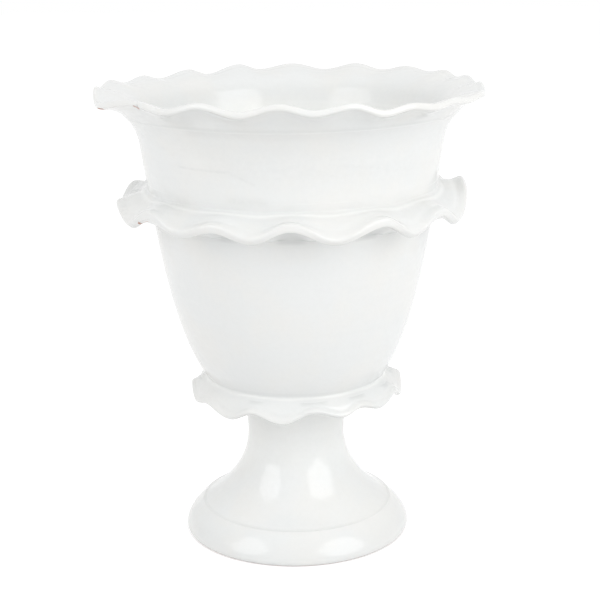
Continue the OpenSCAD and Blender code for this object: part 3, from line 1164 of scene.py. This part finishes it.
@dataclass
class RimStrip(CrimpedStrip):
    """The strip that continues the lip outwards.

    Attributes:
        rise: Mean height of the edge's centre above the lip.
        slip: Height of the strip's underside above the lip.
        inset: How far in from both sides of the lip the flat underside begins.
    """

    rise: float = 14.0
    slip: float = 0.1
    inset: float = 1.6
    smear: float = 6.0
    groove: float = 0.3

    def surface(self) -> Surface:
        """Shapes the strip on the lip.

        Returns:
            The strip's surface.
        """
        angles = self.angles()
        lift, out = self.waving(angles)
        lip_r, seat_z = self.bowl.lip_r, self.bowl.lip_z + self.slip
        centre = self.middle(lift, out, lip_r, self.bowl.lip_z + self.rise)
        inner, outer = np.array([self.bowl.lip_inner_r, seat_z]), np.array([lip_r, seat_z])
        upper, edge, lower = self.sides(inner, outer, centre, self.tilt + self.swing * lift, self.leave)
        root = np.repeat(self.root(inner, outer)[None], len(angles), 0)
        section = np.concatenate([upper[:, 1:], edge[:, 1:], lower[:, 1:-1], root], 1)
        surface = Surface(section, angles)
        self.knead(surface, smooth_step(section[..., 0], lip_r - 2.0, lip_r + 8.0))
        self.finish(surface, lip_r + self.reach)
        r, z = surface.sections[..., 0], surface.sections[..., 1]
        joint = bump(z, self.bowl.lip_z + 0.6, 1.4) * (r > lip_r - 3.0) * (surface.outward()[..., 0] > 0.1)
        surface.push(-0.12 * joint)
        # Painted shade in the groove at the joint with the lip.
        surface.skin[Skin.PAINTED_SHADE_AND_GREY] = np.maximum(surface.skin[Skin.PAINTED_SHADE_AND_GREY], 0.25 * joint)
        return surface

    def root(self, inner: Array, outer: Array) -> Array:
        """Draws the strip's foot on the lip, with a thin smear of clay down each side of the lip.

        Args:
            inner: Inner edge of the strip's underside.
            outer: Outer edge of its underside.

        Returns:
            The points, from the outer side to the inner side.
        """
        drop, fade = feathered(self.smear)
        heights = self.bowl.lip_z - drop
        out = np.stack([self.bowl.wall_r(heights) + fade, heights], -1)
        into = np.stack([self.bowl.inner_r(heights) - fade, heights], -1)
        away = np.array([self.inset, 0.0])
        flat = np.linspace(outer - away, inner + away, 6)
        return np.concatenate([out, flat, into[::-1]])


@dataclass
class WallStrip(CrimpedStrip):
    """A strip round the outside of the bowl.

    Attributes:
        seam_height: Height of its upper seam above the bowl's underside.
        root_height: Height of the strip where it is joined to the wall.
        drop: Mean drop from the seam to the edge's centre.
        bury: How deep in the wall a section closes.
        leave_swing: How much the slope of the upper side swings at a crest, where it leaves the wall.
        hollow_swing: How much the slope of the under side rises there, where the fold was pinched hollow.
        tuck: Number of the under side's last points that give way to the curve into the smear.
        tuck_steps: Stretches along that curve.
        bead: Height of the low ridge along the seam.
        bead_hold: Share of a crest's rise that the ridge does not follow.
        bead_rise: Height to which its clay was drawn up the wall.
        bead_fall: How much steeper than the upper side the ridge falls off, in degrees.
        bead_at: Number of the upper side's point over which the ridge stands.
        bead_join: Number of the upper side's point to which it falls off.
        drawn_steps: Stretches from the wall to the ridge.
        fall_steps: Stretches from the ridge to where it joins the upper side.
        ridge_painted_highlight: Strength of the highlight painted in a whiter colour on the ridge.
        shaded_knob_side: Direction of the knob whose concave fold is painted in shade.
        greyness: How grey the strip is all round.
    """

    seam_height: float = 166.0
    root_height: float = 19.0
    drop: float = 9.5
    bury: float = 1.2
    leave_swing: float = 24.0
    hollow_swing: float = 80.0
    tuck: int = 4
    tuck_steps: int = 10
    bead: float = 0.75
    bead_hold: float = 0.55
    bead_rise: float = 3.0
    bead_fall: float = 24.0
    bead_at: int = 15
    bead_join: int = 22
    drawn_steps: int = 18
    fall_steps: int = 8
    ridge_painted_highlight: float = 0.55
    shaded_knob_side: float = -98.0
    greyness: float = 0.04
    squareness: float = 2.9
    seed: int = 23
    side_steps: int = 48
    crowding: float = 1.5

    @property
    def seam_z(self) -> float:
        """Height of the upper seam above the table."""
        return self.bowl.base_z + self.seam_height

    @property
    def seam_r(self) -> float:
        """Radius of the wall at the upper seam."""
        return float(self.bowl.wall_r(self.seam_z))

    def surface(self) -> Surface:
        """Shapes the strip on the wall.

        Returns:
            The strip's surface.
        """
        angles = self.angles()
        lift, out = self.waving(angles)
        centre = self.middle(lift, out, self.seam_r, self.seam_z - self.drop)
        top = self.on_wall(np.full(len(angles), self.seam_z))
        under = self.on_wall(np.full(len(angles), self.seam_z - self.root_height))
        rising = self.leave[0] + self.leave_swing * lift
        hollow = self.leave[1] + self.hollow_swing * np.maximum(lift, 0.0)
        tilt = self.tilt + 2 * self.swing * lift
        upper, edge, lower = self.sides(top, under, centre, tilt, (rising, hollow))
        over = self.smeared(top[:, 1] + self.bead_rise, 1.0)
        below = self.smeared(under[:, 1] - 1.0, -1.0)
        sunk = below[:, -1]
        tucked = bezier(lower[:, -self.tuck], under, (under + sunk) / 2, sunk, self.tuck_steps)
        hidden = self.on_wall(np.linspace(below[:, 0, 1], over[:, 0, 1], 10, axis=1), -self.bury)
        upside = [over[:, :-1], self.beaded(over, upper), edge[:, 1:]]
        section = np.concatenate([*upside, lower[:, 1:-self.tuck], tucked, below[:, -2::-1], hidden], 1)
        surface = Surface(section, angles)
        self.knead(surface, smooth_step(section[..., 0], self.seam_r + 2.0, self.seam_r + 8.0))
        self.finish(surface, self.seam_r + self.reach)
        self.paint_shade_and_grey(surface, lift)
        self.paint_ridge_highlight(surface, over.shape[1] - 1 + self.drawn_steps)
        return surface

    def paint_ridge_highlight(self, surface: Surface, number: int) -> None:
        """Paints a highlight in a whiter colour on the ridge along the seam.

        Args:
            surface: The strip's surface.
            number: Number of the ridge's point in each section.
        """
        away = np.linalg.norm(surface.sections - surface.sections[:, number:number + 1], axis=-1)
        # Painted highlight along the seam ridge.
        surface.skin[Skin.PAINTED_LIGHT] = self.ridge_painted_highlight * bump(away, 0.0, 1.3)

    def paint_shade_and_grey(self, surface: Surface, lift: Array) -> None:
        """Paints shade where a fold is hollow underneath and a little below it on the wall, and on one knob,
        and greys the whole strip.

        Args:
            surface: The strip's surface.
            lift: The edge's lift in each section, in wave heights.
        """
        r, z = surface.sections[..., 0], surface.sections[..., 1]
        root_z = self.seam_z - self.root_height
        below = smooth_step(z, root_z - 4.5, root_z - 0.5) * (z < self.seam_z - 0.35 * self.root_height)
        within = 1 - smooth_step(r - self.bowl.wall_r(z), 4.0, 16.0)
        hollow = 0.85 * smooth_step(lift, -0.1, 0.4)[:, None] * below * within
        knob = bump(turn_apart(surface.angles, self.shaded_knob_side), 0.0, 18.0)[:, None]
        knob_shade = 0.45 * knob * smooth_step(r, self.seam_r + 4.0, self.seam_r + 12.0)
        # Painted shade under the hollow folds and on the knob, with an even grey all round.
        surface.skin[Skin.PAINTED_SHADE_AND_GREY] = np.maximum(np.maximum(hollow, knob_shade), self.greyness)

    def beaded(self, over: Array, upper: Array) -> Array:
        """Shapes the seam: clay drawn down from the wall in a hollow curve, a low ridge, and its fall.

        Args:
            over: The clay smeared up the wall, from its buried end down.
            upper: The upper side, from the wall to the edge.

        Returns:
            The upper side with its ridge.
        """
        ridge = upper[:, self.bead_at].copy()
        ridge[:, 1] += self.bead - self.bead_hold * np.maximum(ridge[:, 1] - self.seam_z, 0.0)
        on_ridge = heading(upper, self.bead_at) - self.bead_fall
        drawn = swept(over[:, -1], heading(over, -2), ridge, on_ridge, self.drawn_steps)
        joined = upper[:, self.bead_join]
        fall = swept(ridge, on_ridge, joined, heading(upper, self.bead_join), self.fall_steps)
        return np.concatenate([drawn, fall[:, 1:], upper[:, self.bead_join + 1:]], 1)

    def on_wall(self, heights: Array, proud: float | Array = 0.0) -> Array:
        """Returns points on the outside of the bowl's wall, or standing proud of it."""
        return np.stack([self.bowl.wall_r(heights) + proud, heights], -1)

    def smeared(self, corner_z: Array, way: float) -> Array:
        """Draws the clay that was smeared along the wall beyond the strip.

        Args:
            corner_z: Height in each section from which it was smeared.
            way: 1 above the strip, -1 below it.

        Returns:
            The points, from the buried end to the strip's own clay.
        """
        drop, fade = feathered(self.smear)
        heights = corner_z[:, None] + way * drop[::-1]
        return self.on_wall(heights, fade[::-1])


@dataclass(frozen=True)
class PhotoCamera:
    """The photograph's viewpoint.

    Attributes:
        distance: Distance in front of the pot's axis, in metres.
        height: Height above the table.
        pitch: Degrees that it looks down.
        yaw: Degrees that it looks to the right of the axis.
        roll: Degrees that it leans to the right.
        focal: Focal length in pixels of the photograph.
        frame_width: Width of the photograph in pixels.
        sensor: Width of the camera's sensor, in millimetres.
    """

    distance: float = 1.120
    height: float = 0.488
    pitch: float = 15.05
    yaw: float = 0.225
    roll: float = 0.85
    focal: float = 1472.0
    frame_width: float = 600.0
    sensor: float = 36.0

    def place(self) -> bpy.types.Object:
        """Makes the camera and hands it to the scene.

        Returns:
            The camera.
        """
        data = bpy.data.cameras.new("photo_camera")
        data.sensor_width = self.sensor
        data.lens = self.focal / self.frame_width * self.sensor
        camera = linked("photo_camera", data)
        look = Matrix.Rotation(math.radians(90.0 - self.pitch), 4, "X")
        aim = Matrix.Rotation(math.radians(-self.yaw), 4, "Y")
        lean = Matrix.Rotation(math.radians(-self.roll), 4, "Z")
        camera.matrix_world = Matrix.Translation((0.0, -self.distance, self.height)) @ look @ aim @ lean
        bpy.context.scene.camera = camera
        return camera


@dataclass(frozen=True)
class SoftBox:
    """One studio softbox.

    Attributes:
        name: Name of the lamp.
        azimuth: Direction from the pot, in degrees from the front towards +X.
        elevation: Degrees above the horizon.
        distance: Distance from the pot, in metres.
        width: Width of its face.
        height: Height of its face.
        power: Power in watts.
    """

    name: str
    azimuth: float
    elevation: float
    distance: float
    width: float
    height: float
    power: float

    def place(self, target: Vector) -> bpy.types.Object:
        """Makes the lamp, facing the target.

        Args:
            target: The point that it faces.

        Returns:
            The lamp.
        """
        data = bpy.data.lights.new(self.name, "AREA")
        data.shape = "ELLIPSE"
        data.size, data.size_y = self.width, self.height
        data.energy = self.power
        lamp = linked(self.name, data)
        turn, rise = math.radians(self.azimuth), math.radians(self.elevation)
        away = Vector((math.sin(turn) * math.cos(rise), -math.cos(turn) * math.cos(rise), math.sin(rise)))
        lamp.location = target + away * self.distance
        lamp.rotation_euler = away.to_track_quat("Z", "Y").to_euler()
        return lamp


@dataclass
class Studio:
    """Pale floor, white surroundings and two softboxes.

    Attributes:
        horizon: Strength of the surroundings' light from the sides.
        zenith: Strength of their light from above.
        floor_width: Width of the floor, in metres.
        floor_white: How white the floor is.
        floor_glow: How much the floor glows in the camera's view and in reflections, to show as white.
        aim_height: Height of the point that the softboxes face, in metres.
        boxes: The softboxes.
    """

    horizon: float = 0.67
    zenith: float = 0.88
    floor_width: float = 12.0
    floor_white: float = 0.80
    floor_glow: float = 0.38
    aim_height: float = 0.16
    boxes: tuple[SoftBox, ...] = (
        SoftBox("right_softbox", 48.5, 25.5, 1.5, 1.28, 1.40, 8.0),
        SoftBox("left_softbox", -55.0, 27.0, 1.5, 1.02, 1.28, 4.8),
    )

    def build(self) -> None:
        """Makes the surroundings, the floor, the lamps and the camera."""
        self.surroundings()
        self.floor()
        for box in self.boxes:
            box.place(Vector((0.0, 0.0, self.aim_height)))
        PhotoCamera().place()
        bpy.context.scene.view_settings.view_transform = "Standard"

    def surroundings(self) -> None:
        """Lights the pot from all round, more from above, and shows plain white to the camera."""
        world = bpy.data.worlds.new("white_surroundings")
        bpy.context.scene.world = world
        shading = Shading(world)
        way = shading.add("ShaderNodeTexCoord").outputs["Generated"]
        up = shading.add("ShaderNodeSeparateXYZ", {0: way}).outputs[2]
        rising = shading.add("ShaderNodeMapRange", {0: up, 3: self.horizon, 4: self.zenith})
        white = tint(1.0, 1.0, 1.0)
        light, plain = (
            shading.add("ShaderNodeBackground", {"Color": white, "Strength": strength}).outputs[0]
            for strength in (rising.outputs[0], 1.0)
        )
        mix = shading.add("ShaderNodeMixShader", {0: shading.seen(), 1: light, 2: plain})
        shading.add("ShaderNodeOutputWorld", {"Surface": mix.outputs[0]})

    def floor(self) -> None:
        """Lays the pale floor, which glows for the camera and still takes the pot's shadow."""
        half = self.floor_width / 2
        corners = [(-half, -half, 0), (half, -half, 0), (half, half, 0), (-half, half, 0)]
        mesh = bpy.data.meshes.new("floor")
        mesh.from_pydata(corners, [], [(0, 1, 2, 3)])
        floor = linked("floor", mesh)
        shading = Shading(bpy.data.materials.new("floor_paint"))
        white = self.floor_white
        paint = shading.add("ShaderNodeBsdfDiffuse", {"Color": tint(white, white, white)})
        strength = shading.times(shading.seen(), self.floor_glow)
        glow = shading.add("ShaderNodeEmission", {"Strength": strength})
        mixed = shading.add("ShaderNodeAddShader", {0: paint.outputs[0], 1: glow.outputs[0]})
        shading.add("ShaderNodeOutputMaterial", {"Surface": mixed.outputs[0]})
        mesh.materials.append(shading.owner)


@dataclass
class Cachepot:
    """The whole pot.

    Attributes:
        foot: The thrown foot.
        bowl: The thrown bowl.
        glaze: Its finish.
    """

    foot: Foot = field(default_factory=Foot)
    bowl: Bowl = field(default_factory=Bowl)
    glaze: WhiteGlaze = field(default_factory=WhiteGlaze)

    def strips(self) -> dict[Node, CrimpedStrip]:
        """Lays out the three crimped strips.

        Returns:
            The strips, by the solid that each stands for.
        """
        return {
            Node.RIM: RimStrip(
                RIM_WAVES, first_crest=-47.0, reach=20.9, wave_height=5.0, thickness=5.4, tilt=14.0,
                swing=12.0, leave=(68.0, 46.0), bowl=self.bowl, lap=-46.0,
                bare_spots=((-70.0, 4.0), (-47.6, 0.5)),
            ),
            Node.MIDDLE: WallStrip(
                MIDDLE_WAVES, first_crest=-52.0, reach=22.4, wave_height=8.5, thickness=7.8, tilt=-20.0,
                swing=20.0, leave=(0.0, -12.0), bowl=self.bowl, bare_spots=((-58.0, 0.7),),
            ),
            Node.LOWER: WallStrip(
                LOWER_WAVES, first_crest=-88.0, reach=12.0, wave_height=7.0, thickness=5.0, tilt=-52.0,
                swing=12.0, leave=(-30.0, -20.0), bowl=self.bowl, bare_spots=((-150.0, 3.0),), seed=37,
                seam_height=17.0, root_height=7.0, drop=11.5, smear=3.0, leave_swing=4.0, hollow_swing=20.0,
                bead=0.35, bead_rise=1.8, bead_at=10, bead_join=17, greyness=0.18,
            ),
        }

    def build(self) -> None:
        """Builds every piece, dresses it and puts it in its solid's place."""
        surfaces = {Node.FOOT: self.foot.surface(), Node.BOWL: self.bowl.surface()}
        surfaces |= {node: strip.surface() for node, strip in self.strips().items()}
        material = self.glaze.material()
        for node, surface in surfaces.items():
            piece = surface.build(f"glazed_{node.value}")
            piece.data.materials.append(material)
            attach(piece, BODY)
            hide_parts(node.value)
            log.info("%s: %d points, stands for %s", piece.name, len(piece.data.vertices), node.value)


def main() -> None:
    """Builds the studio and the pot."""
    logging.basicConfig(level=logging.INFO, format="%(message)s")
    Studio().build()
    Cachepot().build()


if __name__ == "__main__":
    main()
